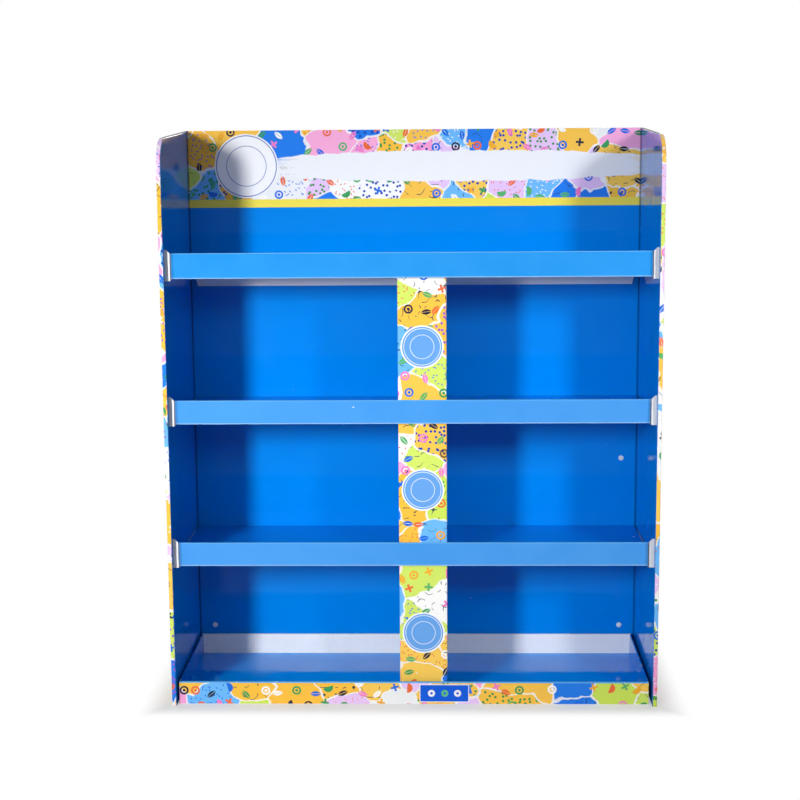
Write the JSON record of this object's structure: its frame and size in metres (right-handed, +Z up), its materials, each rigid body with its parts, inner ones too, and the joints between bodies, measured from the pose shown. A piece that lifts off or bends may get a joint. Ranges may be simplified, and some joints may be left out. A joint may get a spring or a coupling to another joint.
{
  "type": "cardboard display stand",
  "caption": "Free-standing corrugated board display stand: double side panels, back panel with printed header, lipped shelves, front support columns and a shallow base tray.",
  "frame": {"origin": "middle of the footprint on the floor", "axes": "+Z up, front opening towards -Y, +X to the right seen from the front"},
  "size_m": [1.018, 0.37, 1.197],
  "materials": {
    "blue_board": "blue print under gloss film on white-lined corrugated board",
    "printed_board": "multicolour print under gloss film on white-lined corrugated board",
    "white_plastic": "satin moulded plastic"
  },
  "bodies": {
    "root": {"left_side_panel": "printed_board", "right_side_panel": "printed_board", "back_panel": "blue_board", "top_shelf": "blue_board", "middle_shelf": "blue_board", "lower_shelf": "blue_board", "base_tray": "blue_board", "upper_column": "printed_board", "middle_column": "printed_board", "lower_column": "printed_board", "snap_rivets": "white_plastic"}
  },
  "joints": []
}
